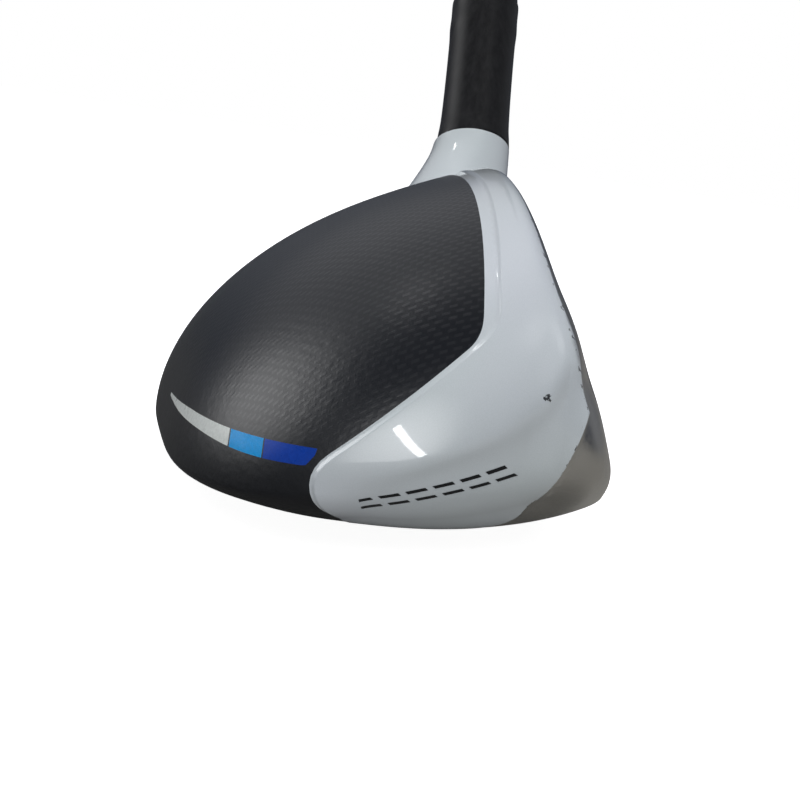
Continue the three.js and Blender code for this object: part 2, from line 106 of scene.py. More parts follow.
AXIS = np.array((math.cos(LIE), 0, math.sin(LIE)))
FOOT = np.array((AXIS_X, AXIS_Y, 0))

# ---- Lines between the parts, seen from the side as (y, z, corner radius)
PANEL_CORNERS = [(-5.4, 60, 0), (-5.6, 27.6, 4.4), (10.8, 11.2, 4.6),
                 (-3, -5, 0), (60, -5, 0), (60, 60, 0)]
PANEL_HEEL_X = 62
PANEL_HEEL_Y = -13
PANEL_HEEL_RADIUS = 34
PANEL_HEEL_SOFTNESS = 1.2
STEP_DEPTH = 0.22  # the white body stands this proud of the crown
STEP_OFFSET_TOE = 0.45  # distance from the crown's edge to the step
STEP_OFFSET_TOP = 1.55
STEP_TURN_Z = (26, 30)  # heights between which the one distance becomes the other
STEP_END_X = (8, 24)  # the step fades out between these, towards the heel
STEP_END_SOLE = (-0.3, 0.9)  # and between these distances from the bare sole
STEP_HALF_WIDTH = 0.2
PAINT_THICKNESS = 0.07
PAINT_EDGE = 0.12  # half the width of the paint's rounded edge
SHELL_THICKNESS = 0.6

# ---- The toe: a shoulder above a tucked-in facet, and a swell beside the face
SHOULDER = [(-14.5, 25), (-12, 21), (-8, 18.2), (-1, 14.6), (6, 11), (14, 7)]  # (y, z)
SHOULDER_HEEL_X = -28  # past here the shoulder sinks into the sole
SHOULDER_SINK = 2
SHOULDER_SLOPE = 0.85  # how steeply the toe tucks in below its shoulder
SHOULDER_DEPTH = 1.4
SHOULDER_SOFTNESS = 0.3  # of the bend where it is sharpest, at SHOULDER_SHARP_Y
SHOULDER_SPREAD = 0.007
SHOULDER_SHARP_Y = -3
TUCK_FRONT_Y = (-20, -15)  # the tuck fades in between these places from the face,
TUCK_BACK_Y = (2, 11)  # out between these towards the back,
TUCK_X = (-38, -30)  # out between these towards the heel,
TUCK_Z = (0.5, 12)  # and in between these heights from the ground
TOE_SWELL = 0.8  # how far the toe end of the face stands out
SWELL_RISE_Z = (9, 15.5)
SWELL_FALL_Z = (25, 36)
SWELL_X = (-36, -27)
SWELL_Y = (-15, -11)

PAINT_LINE = [(-17.5, 22.4), (-17, 19.9), (-16.6, 18.2), (-16.2, 16.6), (-15.85, 15),
              (-15.5, 13.1), (-15.2, 11), (-14.7, 9.1), (-13.5, 7), (-10.2, 5), (-5, 4.2)]
SOLE_STEP_LINE = [(-15, 10.3), (-13.6, 7.1), (-10.2, 5), (-5, 4.2)]
FAR = 60  # far outside the head, for closing outlines
TOE_CORNER_X = -22
SOLE_HEEL_X = 33

BAND_HIGH = [(8.7, 14.4), (14.5, 13.6), (18.2, 13.1), (21.7, 12.6), (24.2, 12), (27.6, 10.5)]
BAND_LOW = [(8.7, 12.6), (14.4, 11.7), (18, 11.35), (21.4, 11.2), (23.9, 10.95), (27.6, 10.4)]
BAND_END_LEAN = 0.65  # how far the front end of the row leans per unit of height
BAND_SPLITS = [18.1, 14.4]
BAND_END_X = -5
BAND_GAP = 0.07  # half the dark line between two bands

SLOT_LENGTH = 52
SLOT_WIDTH = 4
SLOT_Y = -19.5
SLOT_DEPTH = 0.5
SLOT_WALL = (-0.35, -0.02)  # distances from the slot's edge between which its wall falls
UNDERSIDE_TOP = 12  # the slot is cut only below this height

SCORE_LINES = 9
SCORE_PITCH = 2.8
SCORE_FIRST = -9.6  # height of the lowest line from the middle of the face
SCORE_MIDDLE_X = -4
SCORE_HALF_LENGTH = 21
SCORE_WIDTH = 0.8
SCORE_FLOOR = 0.1  # half the flat floor of a score line
SCORE_DEPTH = 0.35

# ---- Marks on the head
BAR_BASE = [(3.6, 8), (0, 9.3), (-3.6, 10.8), (-7.3, 12.4), (-12, 14.6)]  # (y, z), a row's foot
BAR_COUNT = 6
BAR_GAP = 0.75
BAR_STROKES = (0, 1.45)  # heights of the two strokes of each bar
BAR_STROKE = 0.45
BAR_SLANT = -0.5
BAR_RISE = 0.03
BAR_COLUMNS = 9  # fineness of a stroke's mesh
BAR_ROWS = 3
CHIP_PLACE = (-0.0429, -0.0124, 0.0228)
CHIP_HEART = (0, 0.00012, 0.00012)  # from there to the spot of paint left inside
CHIP_RADIUS = (0.00084, 0.00079)
CHIP_HEART_RADIUS = (0.00016, 0.00022)
CHIP_COLOR = (0.03, 0.032, 0.035)
WEAVE_PITCH = 1.5  # spacing of the dashes in the crown's finish
WEAVE_ROW = 0.74
WEAVE_START_Z = (0.0125, 0.0165)  # the weave fades in between these heights

# ---- Shaft, ferrule and grip
SHAFT_TIP_RADIUS = 4.7
SHAFT_BUTT_RADIUS = 7.6
SHAFT_PARALLEL_END = 130
SHAFT_WALL = 1.3
FERRULE_CURVE = [(6.72, 0), (6.6, 1.5), (6.38, 4), (6.26, 9), (6.22, 16), (6.25, 21.5),
                 (6.38, 24.3), (6.31, 27), (6.34, 29.9), (6.12, 30.4), (6.0, 32), (5.3, 35.6)]
FERRULE_LAP = 0.22  # how far the collar reaches down into the hosel's rim
GRIP_MOUTH_RADIUS = 9.9
GRIP_LIP = [(-0.9, 0), (-0.3, 0.3), (0, 1.3), (0, 9), (-0.4, 9.6), (-0.4, 12), (0, 12.6)]
GRIP_START = 13  # where the plain swell starts, from the mouth
GRIP_BUTT_RADIUS = 13.4
GRIP_GROOVES = 12
GRIP_PITCH = 5.2
GRIP_ZONES = 5
GRIP_RELIEF = 0.35
GRIP_PATTERN_START = 20  # from the mouth
GRIP_PATTERN_END = 18  # from the butt
CAP_ROUNDING = 4.5
CAP_SOCKET = 2.5
CAP_VENT_RADIUS = 1.5
CAP_GROOVE = [(7.2, 0), (6.8, 0.35), (6.4, 0.35), (6.0, 0)]  # (radius, depth) in its end

# ---- Camera and lights, in metres
CAMERA_PLACE = (-0.149433, 0.012435, 0.044576)
CAMERA_LENS = 51.16
CAMERA_YAW = -0.1
CAMERA_PITCH = 0.22
CAMERA_ROLL = 0.157
WORLD_LIGHT = (0.16, 0.166, 0.178)
MIRRORED_LIGHT = (0.035, 0.045, 0.07)  # what mirrors see between the patches below
SKY_PATCHES = [  # azimuth, height and radius in degrees, brightness at the middle
    (80, 16, 29, 3.6),
    (30, 52, 47, 0.52),
    (-75, 8, 55, 0.2),
    (14, 18, 22, 0.08),
    (155, 11, 30, 2.6),
    (-145, 60, 13, 1),
    (63, 59, 3, 14),
]
FLOOR_HALF = 8.0
FLOOR_DROP = 0.0003  # how far the floor lies under the sole
FLOOR_BOUNCE = (0.24, 0.24, 0.235)
FLOOR_SEEN = (0.88, 0.88, 0.88)
FLOOR_LIGHT = (0.25, 0.25, 0.245)  # light the floor gives off whatever falls on it
# painted shade behind the head and a painted pool of light before its face, as mirrors see the
# floor
FLOOR_MIRRORED_PAINTED_LIGHT = ((0.10, 0.10, 0.10), (0.36, 0.35, 0.33))  # behind the head, before its face
FLOOR_TURN = 0.03  # half the width of the change between the two
FLOOR_GLOW = 0.93
LIGHTS = {  # place, target, direction of the long side, size, power, in mirrors
    "key": ((-1.25, 0.02, 1.4), (0, 0, 0.02), (0, 1, 0), (1.5, 1.2), 14, False),
    "overhead": ((0.1, 0.15, 1.7), (0, 0, 0), (0, 1, 0), (1.3, 1.3), 13, False),
    "window": ((-0.58, 0.19, 0.14), (-0.045, 0, 0.018), (0.37, 0.64, 0.67), (0.31, 0.034),
               0.5, True),
}

# ---- Fineness
HEAD_LOW = np.array((-48.0, -32.0, -1.4))
HEAD_HIGH = np.array((73.0, 33.0, 50.5))
GRID_STEP = 0.7
GRIP_RINGS = 420
PROBE = 0.02  # step of the numerical gradient
SNAP = 0.05  # points this near a line are moved onto it


# ---- The head's skin as a formula
def soft_max(a, b, softness):
    top = np.maximum(a, b)
    return top + softness * np.log(np.exp((a - top) / softness) + np.exp((b - top) / softness))


def soft_min(a, b, softness):
    return -soft_max(-a, -b, softness)


def smooth_step(low, high, value):
    t = np.clip((value - low) / (high - low), 0, 1)
    return t * t * (3 - 2 * t)


def rise(places, value):
    return smooth_step(*places, value)


def fall(places, value):
    return 1 - smooth_step(*places, value)


def lengths(vectors):
    return np.linalg.norm(vectors, axis=1)


def plan_radius(angle):
    """Distance of the outline from the origin, as a closed smooth curve."""
    count = len(PLAN_RADII)
    place = (angle / (2 * np.pi) * count) % count
    first = np.floor(place).astype(int)
    t = place - first
    before, start, end, after = (PLAN_RADII[(first + n) % count] for n in (-1, 0, 1, 2))
    return ((1 - t) ** 3 * before + (3 * t ** 3 - 6 * t ** 2 + 4) * start
            + (-3 * t ** 3 + 3 * t ** 2 + 3 * t + 1) * end + t ** 3 * after) / 6


def dome(p):
    """Negative inside the rounded body, before the face is cut."""
    x, y, z = p.T
    rho = np.hypot(x, y) / plan_radius(np.arctan2(y, x))
    waist = WAIST_HEIGHT + WAIST_SLOPE_X * x + WAIST_SLOPE_Y * y
    crown = CROWN_HEIGHT + CROWN_SLOPE_Y * y
    sole = SOLE_CAMBER_X * x ** 2 + SOLE_CAMBER_Y * y ** 2 - SOLE_SINK
    above = z > waist
    half = np.where(above, np.maximum(crown - waist, 4), np.maximum(waist - sole, 3))
    power = np.where(above, CROWN_FULLNESS, SOLE_FULLNESS)
    total = rho ** PLAN_FULLNESS + np.abs((z - waist) / half) ** power
    return (total ** (2 / (PLAN_FULLNESS + MEAN_FULLNESS)) - 1) * FIELD_SCALE


def face_place(p):
    """Distance in front of the leading edge's plane, and height up the face from its middle."""
    y = p[:, 1] - LEADING_EDGE_Y
    z = p[:, 2] - LEADING_EDGE_Z
    out = -y * math.cos(LOFT) + z * math.sin(LOFT)
    up = y * math.sin(LOFT) + z * math.cos(LOFT) - FACE_MIDDLE
    return out, up


def face(p):
    """Distance in front of the bulged and rolled face."""
    out, up = face_place(p)
    return out + p[:, 0] ** 2 / (2 * BULGE_RADIUS) + up ** 2 / (2 * ROLL_RADIUS)


def axis_place(p):
    """Distance along the shaft axis from the ground, and the offset square to it."""
    offset = p - FOOT
    along = offset @ AXIS
    return along, offset - along[:, None] * AXIS


def from_axis(p):
    return lengths(axis_place(p)[1])


def rim_line(p):
    """Height over the flat top of the hosel."""
    return (p - FOOT) @ AXIS - HOSEL_TOP


def neck(p):
    """Distance outside the neck, which spreads backwards below the flare's start."""
    along, across = axis_place(p)
    drop = FLARE_START - np.maximum(along, HOSEL_ROOT)
    spread = FLARE_SLOPE * 0.5 * (drop + np.hypot(drop, FLARE_SOFTNESS))
    across[:, 1] -= spread
    below = np.minimum(along - HOSEL_ROOT, 0)
    return np.hypot(lengths(across), below) - HOSEL_RADIUS - spread


def skin(p):
    body = soft_max(dome(p), face(p), CREASE_SOFTNESS)
    body = soft_min(body, neck(p), NECK_BLEND)
    body = soft_max(body, -p[:, 2], GROUND_SOFTNESS)
    return soft_max(body, rim_line(p), RIM_SOFTNESS)


def slope(field, p):
    """Gradient of a field at each point."""
    out = np.empty_like(p)
    for axis in range(3):
        step = np.zeros(3)
        step[axis] = PROBE
        out[:, axis] = (field(p + step) - field(p - step)) / (2 * PROBE)
    return out


def unit(vectors):
    return vectors / lengths(vectors)[:, None]


def settled(points, field, rounds=3):
    """The points moved onto the surface on which the field is zero."""
    for _ in range(rounds):
        gradient = slope(field, points)
        points = points - gradient * (field(points) / (gradient ** 2).sum(1))[:, None]
    return points


def crossing(inner, outer, outside, rounds=30):
    """Where the ways from inner to outer places leave the head, found by halving."""
    for _ in range(rounds):
        middle = (inner + outer) / 2
        out = outside(middle)
        inner, outer = np.where(out, inner, middle), np.where(out, middle, outer)
    return inner


# ---- Lines on the skin
def rounded(corners, steps=8):
    """Closed outline through corners (a, b, radius), each corner softened by its radius."""
    out = []
    for i, (a, b, radius) in enumerate(corners):
        here = np.array((a, b), float)
        into = np.array(corners[i - 1][:2]) - here
        onward = np.array(corners[(i + 1) % len(corners)][:2]) - here
        into /= np.linalg.norm(into)
        onward /= np.linalg.norm(onward)
        if radius == 0:
            out.append(here)
            continue
        reach = radius / math.tan(math.acos(into @ onward) / 2)
        for t in np.linspace(0, 1, steps):
            out.append((1 - t) ** 2 * (here + into * reach) + 2 * t * (1 - t) * here
                       + t ** 2 * (here + onward * reach))
    return np.array(out)


def smooth_curve(points, steps=4):
    """Points on a smooth curve that passes through the given ones."""
    held = np.array(points, float)
    held = np.vstack((2 * held[0] - held[1], held, 2 * held[-1] - held[-2]))
    out = []
    for before, start, end, after in zip(held, held[1:], held[2:], held[3:]):
        for t in np.arange(steps) / steps:
            out.append(0.5 * (2 * start + (end - before) * t
                              + (2 * before - 5 * start + 4 * end - after) * t ** 2
                              + (3 * start - before - 3 * end + after) * t ** 3))
    return np.array(out + [held[-2]])


def below_curve(points):
    """Closed outline of everything under a curve and in front of its first point."""
    first, last = points[0][1], points[-1][1]
    return np.vstack(([(-FAR, first)], smooth_curve(points), [(FAR, last), (FAR, -5), (-FAR, -5)]))


def outline_distance(outline, a, b):
    """Distance outside a closed flat outline, negative inside it."""
    nearest = np.full(len(a), np.inf)
    inside = np.zeros(len(a), bool)
    for (a0, b0), (a1, b1) in zip(outline, np.roll(outline, -1, axis=0)):
        side_a, side_b = a1 - a0, b1 - b0
        share = ((a - a0) * side_a + (b - b0) * side_b) / max(side_a ** 2 + side_b ** 2, 1e-12)
        share = np.clip(share, 0, 1)
        nearest = np.minimum(nearest, (a - a0 - share * side_a) ** 2
                             + (b - b0 - share * side_b) ** 2)
        if side_b:
            inside ^= ((b0 > b) != (b1 > b)) & (a < a0 + (b - b0) * side_a / side_b)
    return np.where(inside, -1, 1) * np.sqrt(nearest)


PANEL_OUTLINE = rounded(PANEL_CORNERS)
TOE_PAINT_OUTLINE = below_curve(PAINT_LINE)
SOLE_OUTLINE = below_curve(SOLE_STEP_LINE)
SHOULDER_CURVE = smooth_curve(SHOULDER)
BAND_TOP_CURVE = smooth_curve(BAND_HIGH)
BAND_FOOT_CURVE = smooth_curve(BAND_LOW)


def panel_line(p):
    """Distance outside the black crown."""
    side = outline_distance(PANEL_OUTLINE, p[:, 1], p[:, 2])
    heel = PANEL_HEEL_RADIUS - np.hypot(p[:, 0] - PANEL_HEEL_X, p[:, 1] - PANEL_HEEL_Y)
    return soft_max(side, heel, PANEL_HEEL_SOFTNESS)


def step_line(p):
    """Distance outside the soft step in the white body, which runs beside the crown."""
    top = rise(STEP_TURN_Z, p[:, 2])
    return panel_line(p) - STEP_OFFSET_TOE - (STEP_OFFSET_TOP - STEP_OFFSET_TOE) * top


def sole_line(p):
    """Distance outside the bare sole."""
    x, y, z = p.T
    toe = np.maximum(outline_distance(TOE_PAINT_OUTLINE, y, z), x - TOE_CORNER_X)
    rest = np.maximum(outline_distance(SOLE_OUTLINE, y, z), x - SOLE_HEEL_X)
    return np.minimum(toe, rest)


def face_line(p):
    """Distance outside the face plate."""
    plate = soft_max(dome(p) + FACE_RIM, FACE_HEEL_RADIUS - from_axis(p), FACE_HEEL_SOFTNESS)
    return np.maximum(plate, -FACE_REACH - face(p))


def bare_line(p):
    """Distance outside the bare steel of the face side."""
    near_neck = FACE_STEEL_RADIUS - from_axis(p)
    return soft_max(dome(p) - face(p), near_neck, FACE_STEEL_SOFTNESS)


def band_line(p):
    """Distance outside the row of coloured bands."""
    x, y, z = p.T
    top = z - np.interp(y, *BAND_TOP_CURVE.T)
    foot = np.interp(y, *BAND_FOOT_CURVE.T) - z
    end = BAND_HIGH[0][0] + (BAND_HIGH[0][1] - z) * BAND_END_LEAN - y
    return np.max((top, foot, end, y - BAND_HIGH[-1][0], x - BAND_END_X), axis=0)


def shoulder_line(p):
    """Height over the toe's shoulder. Away from the toe the line sinks into the sole."""
    height = p[:, 2] - np.interp(p[:, 1], *SHOULDER_CURVE.T)
    return height + SHOULDER_SINK * np.maximum(p[:, 0] - SHOULDER_HEEL_X, 0)


def slot_line(p):
    """Distance outside the slot in the sole."""
    beyond = np.maximum(np.abs(p[:, 0]) - (SLOT_LENGTH - SLOT_WIDTH) / 2, 0)
    side = np.hypot(beyond, p[:, 1] - SLOT_Y) - SLOT_WIDTH / 2
    return np.maximum(side, p[:, 2] - UNDERSIDE_TOP)


def bore_line(p):
    """Distance outside the hosel's bore, near its mouth."""
    return np.maximum(from_axis(p) - HOSEL_BORE, -MOUTH_DEPTH - rim_line(p))


def collar_line(p):
    """Distance outside the hosel's top edge, for the flat ring on top."""
    return np.maximum(from_axis(p) - HOSEL_RADIUS, -COLLAR_DEPTH - rim_line(p))


def above(line, offset):
    """The line moved out by an offset."""
    return lambda p: line(p) - offset


# ---- Meshing
def surface_net(field, low, high, step):
    """Triangles near the surface on which the field is zero, facing out."""
    axes = [np.arange(a, b + step, step) for a, b in zip(low, high)]
    grid = np.stack(np.meshgrid(*axes, indexing="ij"), -1)
    value = field(grid.reshape(-1, 3)).reshape(grid.shape[:3])
    inside = value < 0
    corners = [(i, j, k) for i in (0, 1) for j in (0, 1) for k in (0, 1)]

    def at(array, corner):
        return array[tuple(slice(c, n - 1 + c) for c, n in zip(corner, array.shape[:3]))]

    count = sum(at(inside, c).astype(int) for c in corners)
    crossed_cells = (count > 0) & (count < 8)
    total = np.zeros((crossed_cells.sum(), 3))
    hits = np.zeros(len(total))
    for a in corners:
        for b in corners:
            if sum(b) - sum(a) != 1 or any(q < p for p, q in zip(a, b)):
                continue
            value_a, value_b = at(value, a)[crossed_cells], at(value, b)[crossed_cells]
            crossed = (value_a < 0) != (value_b < 0)
            share = np.where(crossed, value_a / np.where(crossed, value_a - value_b, 1), 0)
            start, end = at(grid, a)[crossed_cells], at(grid, b)[crossed_cells]
            total += (start + share[:, None] * (end - start)) * crossed[:, None]
            hits += crossed
    points = settled(total / hits[:, None], field)
    index = np.full(crossed_cells.shape, -1)
    index[crossed_cells] = np.arange(len(points))
    quads = []
    for order in ((0, 1, 2), (1, 2, 0), (2, 0, 1)):
        within, cells = inside.transpose(order), index.transpose(order)
        start, end = within[:-1, 1:-1, 1:-1], within[1:, 1:-1, 1:-1]
        ring = np.stack((cells[:, :-1, :-1], cells[:, 1:, :-1], cells[:, 1:, 1:],
                         cells[:, :-1, 1:]), -1)
        quads += [ring[start & ~end], ring[end & ~start][:, ::-1]]
    quads = np.vstack(quads)
    a, b, c, d = (points[quads[:, n]] for n in range(4))
    short = lengths(a - c) < lengths(b - d)
    one, other = quads[short], quads[~short]
    triangles = np.vstack((one[:, [0, 1, 2]], one[:, [0, 2, 3]],
                           other[:, [0, 1, 3]], other[:, [1, 2, 3]]))
    return points, triangles


def onto_line(points, line, rounds=3):
    """The points slid along the skin until they lie on a line."""
    for _ in range(rounds):
        up = unit(slope(skin, points))
        across = slope(line, points)
        across -= (across * up).sum(1)[:, None] * up
        steepness = np.maximum((across ** 2).sum(1), 0.05)
        move = across * (line(points) / steepness)[:, None]
        length = lengths(move)
        move *= np.minimum(1, 0.5 / np.maximum(length, 1e-9))[:, None]
        points = settled(points - move, skin, 1)
    return points


def cut(points, triangles, line):
    """Splits the triangles where the line crosses them.

    Returns the points, the triangles, each triangle's side of the line and its parent."""
    value = line(points)
    near = np.abs(value) < SNAP
    points = points.copy()
    if near.any():
        points[near] = onto_line(points[near], line)
    value[near] = 0
    sign = np.sign(value).astype(int)
    corner = sign[triangles]
    crossed = (corner.max(1) > 0) & (corner.min(1) < 0)
    edges = triangles[crossed][:, [[0, 1], [1, 2], [2, 0]]].reshape(-1, 2)
    edges = np.unique(np.sort(edges[sign[edges].prod(1) < 0], axis=1), axis=0)
    first = len(points)
    keys = edges[:, 0] * first + edges[:, 1]
    start, end = edges.T
    if len(edges):
        share = (value[start] / (value[start] - value[end]))[:, None]
        fresh = onto_line(points[start] + share * (points[end] - points[start]), line)
        points = np.vstack((points, fresh))
        value = np.concatenate((value, np.zeros(len(fresh))))

    def between(a, b):
        return first + np.searchsorted(keys, np.minimum(a, b) * first + np.maximum(a, b))

    parts = [triangles[~crossed]]
    parents = [np.flatnonzero(~crossed)]
    for turn in range(3):
        turned_triangles = np.roll(triangles, -turn, axis=1)
        turned_corner = np.roll(corner, -turn, axis=1)
        on_line = np.flatnonzero(crossed & (turned_corner[:, 0] == 0))
        a, b, c = turned_triangles[on_line].T
        m = between(b, c)
        parts += [np.stack((a, b, m), 1), np.stack((a, m, c), 1)]
        parents += [on_line] * 2
        alone = np.flatnonzero((turned_corner[:, 0] * turned_corner[:, 1] < 0)
                               & (turned_corner[:, 0] * turned_corner[:, 2] < 0))
        a, b, c = turned_triangles[alone].T
        m, n = between(a, b), between(a, c)
        parts += [np.stack((a, m, n), 1), np.stack((m, b, c), 1), np.stack((m, c, n), 1)]
        parents += [alone] * 3
    triangles = np.vstack(parts)
    parent = np.concatenate(parents)
    side = np.sign(value[triangles].sum(1))
    flat = side == 0
    side[flat] = np.sign(line(points[triangles[flat]].mean(1)))
    return points, triangles, side, parent


class Patch:
    """A mesh on the skin, with a side of each named line kept for every triangle."""

    def __init__(self, points, triangles, sides=None):
        self.points = points
        self.triangles = triangles
        self.sides = sides or {}

    def split(self, line, name=None):
        self.points, self.triangles, side, parent = cut(self.points, self.triangles, line)
        self.sides = {key: held[parent] for key, held in self.sides.items()}
        if name:
            self.sides[name] = side

    def part(self, mask):
        used, triangles = np.unique(self.triangles[mask], return_inverse=True)
        sides = {key: held[mask] for key, held in self.sides.items()}
        return Patch(self.points[used], triangles.reshape(-1, 3), sides)


# ---- Making objects
def make_object(name, points, faces, materials):
    """An object in the scene, from points in millimetres."""
    mesh = bpy.data.meshes.new(name)
    mesh.from_pydata((points * MM).tolist(), [], faces.tolist())
    for entry in materials:
        mesh.materials.append(entry)
    piece = bpy.data.objects.new(name, mesh)
    bpy.context.scene.collection.objects.link(piece)
    return piece


def declare(piece, node):
    """The piece moves with the club and stands for its CAD node."""
    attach(piece, "root")
    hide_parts(node)


def add_attribute(piece, name, values):
    attribute = piece.data.attributes.new(name, "FLOAT", "POINT")
    attribute.data.foreach_set("value", values.astype(np.float32))


def closed_shell(name, node, patch, materials, depth=None, bare=None):
    """A thin closed shell that stands for a CAD node, on the finished surface of a patch.

    A further depth can be taken off it. Triangles marked bare get the second material."""
    surface = finished_surface(patch.points, depth)
    points = settled(patch.points, surface, 2)
    normals = unit(slope(surface, points))
    triangles = patch.triangles
    count = len(points)
    ways = triangles[:, [[0, 1], [1, 2], [2, 0]]].reshape(-1, 2)
    forward = ways[:, 0] * count + ways[:, 1]
    backward = ways[:, 1] * count + ways[:, 0]
    a, b = ways[~np.isin(forward, backward)].T
    walls = np.vstack((np.stack((b, a, a + count), 1), np.stack((b, a + count, b + count), 1)))
    everything = np.vstack((points, points - normals * SHELL_THICKNESS))
    corners = everything[walls]
    wall_normals = np.cross(corners[:, 1] - corners[:, 0], corners[:, 2] - corners[:, 0])
    wall_normals /= np.maximum(lengths(wall_normals), 1e-9)[:, None]
    faces = np.vstack((triangles, triangles[:, ::-1] + count, walls))
    loops = np.concatenate((normals[triangles], -normals[triangles[:, ::-1]],
                            np.repeat(wall_normals[:, None], 3, axis=1)))
    piece = make_object(name, everything, faces, materials)
    mesh = piece.data
    if bare is not None:
        shade = np.concatenate((bare, bare, np.zeros(len(walls), int)))
        mesh.polygons.foreach_set("material_index", shade.astype(np.int32))
    mesh.polygons.foreach_set("use_smooth", np.ones(len(faces), bool))
    mesh.update()
    mesh.normals_split_custom_set(loops.reshape(-1, 3).tolist())
    declare(piece, node)
    return piece, everything


# ---- Materials
def feed(tree, socket, value):
    """Gives a socket a value, or links another socket to it."""
    if isinstance(value, bpy.types.NodeSocket):
        tree.links.new(value, socket)
    else:
        socket.default_value = value


def add_node(tree, kind, inputs=None, **settings):
    node = tree.nodes.new(kind)
    for key, value in settings.items():
        setattr(node, key, value)
    for key, value in (inputs or {}).items():
        feed(tree, node.inputs[key], value)
    return node


def mixed(tree, share, a, b):
    """A colour between two others, each of them a socket or three numbers."""
    a, b = (value if isinstance(value, bpy.types.NodeSocket) else (*value, 1) for value in (a, b))
    inputs = {"Factor": share, "A": a, "B": b}
    return add_node(tree, "ShaderNodeMix", inputs, data_type="RGBA").outputs["Result"]


class Finish:
    """A node material under construction. Its textures run on the object's coordinates."""

    def __init__(self, name, color, roughness, metallic=0.0, extra=None):
        self.material = bpy.data.materials.new(name)
        self.material.use_nodes = True
        self.material.diffuse_color = (*color, 1)
        self.tree = self.material.node_tree
        self.shader = self.tree.nodes["Principled BSDF"]
        values = {"Base Color": (*color, 1), "Roughness": roughness, "Metallic": metallic}
        for key, value in {**values, **(extra or {})}.items():
            self.set(key, value)
        self.place = self.add("ShaderNodeTexCoord").outputs["Object"]

    def set(self, name, value):
        feed(self.tree, self.shader.inputs[name], value)

    def add(self, kind, inputs=None, **settings):
        return add_node(self.tree, kind, inputs, **settings)

    def math(self, operation, a, b=0.0):
        return self.add("ShaderNodeMath", {0: a, 1: b}, operation=operation).outputs[0]

    def times(self, a, b):
        return self.math("MULTIPLY", a, b)

    def noise(self, scale, detail, roughness=0.5, place=None):
        inputs = {"Vector": place or self.place, "Scale": scale, "Detail": detail,
                  "Roughness": roughness}
        return self.add("ShaderNodeTexNoise", inputs).outputs["Fac"]

    def grain(self, scales, detail, roughness=0.6):
        """Noise with a scale of its own along each axis."""
        place = self.add("ShaderNodeMapping", {"Vector": self.place, "Scale": scales})
        return self.noise(1.0, detail, roughness, place.outputs[0])

    def range(self, value, low, high, out_low=0.0, out_high=1.0):
        inputs = {"Value": value, "From Min": low, "From Max": high,
                  "To Min": out_low, "To Max": out_high}
        return self.add("ShaderNodeMapRange", inputs).outputs["Result"]

    def attribute(self, name):
        return self.add("ShaderNodeAttribute", attribute_name=name).outputs["Fac"]

    def mix(self, share, a, b):
        return mixed(self.tree, share, a, b)

    def color(self, share, a, b):
        self.set("Base Color", self.mix(share, a, b))

    def roughness(self, value, *ranges):
        self.set("Roughness", self.range(value, *ranges))

    def bump(self, height, distance, strength=1.0):
        inputs = {"Height": height, "Distance": distance, "Strength": strength}
        held = self.shader.inputs["Normal"].links
        if held:
            inputs["Normal"] = held[0].from_socket
        self.set("Normal", self.add("ShaderNodeBump", inputs).outputs[0])


def tinted(tone, share):
    return tuple(share * part for part in tone)


def pearl_paint():
    finish = Finish("pearl_paint", (0.66, 0.70, 0.735), 0.36,
                    extra={"Coat Weight": 1.0, "Coat Roughness": 0.05, "Coat IOR": 1.5})
    tint = finish.range(finish.noise(26, 2), 0.35, 0.65)
    flakes = finish.range(finish.noise(9000, 1), 0.3, 0.7)
    tone = finish.mix(tint, (0.62, 0.68, 0.70), (0.66, 0.69, 0.76))
    tone = finish.mix(finish.times(flakes, 0.22), tone, (0.80, 0.84, 0.90))
    bites = finish.range(finish.noise(1500, 3, 0.6), 0.60, 0.63)
    edge = finish.range(finish.attribute("rim"), 0.45, 0.2)
    chips = finish.times(edge, bites)
    chips = finish.math("MAXIMUM", chips, paint_chip(finish))
    finish.color(chips, tone, CHIP_COLOR)
    finish.roughness(chips, 0, 1, 0.34, 0.6)
    finish.bump(finish.noise(700, 2), 0.000006)
    finish.bump(chips, 0.00006, -1.0)
    return finish.material


def paint_chip(finish):
    """Mask of the one small chip on the toe, a ragged ring round a spot of paint."""
    wobble = finish.times(finish.noise(2600, 2), 0.0009)
    far, near = (finish.add("ShaderNodeVectorMath", {0: finish.place, 1: middle},
                            operation="DISTANCE").outputs["Value"]
                 for middle in (CHIP_PLACE, Vector(CHIP_PLACE) + Vector(CHIP_HEART)))
    outer = finish.range(finish.math("ADD", far, wobble), *CHIP_RADIUS)
    return finish.times(outer, finish.range(near, *CHIP_HEART_RADIUS))


def bare_steel(name="bare_steel", tone=(0.58, 0.57, 0.54), roughness=0.34):
    finish = Finish(name, tone, roughness, metallic=1.0)
    broad = finish.range(finish.noise(60, 3), 0.3, 0.7)
    grain = finish.noise(3500, 2)
    scuffs = finish.range(finish.grain((1600, 120, 300), 4, 0.65), 0.62, 0.72)
    color = finish.mix(broad, tinted(tone, 0.8), tone)
    finish.color(finish.times(scuffs, 0.35), color, (0.62, 0.60, 0.57))
    finish.roughness(grain, 0.3, 0.7, roughness - 0.05, roughness + 0.07)
    finish.bump(grain, 0.000012)
    finish.bump(scuffs, 0.00001, -1.0)
    return finish.material


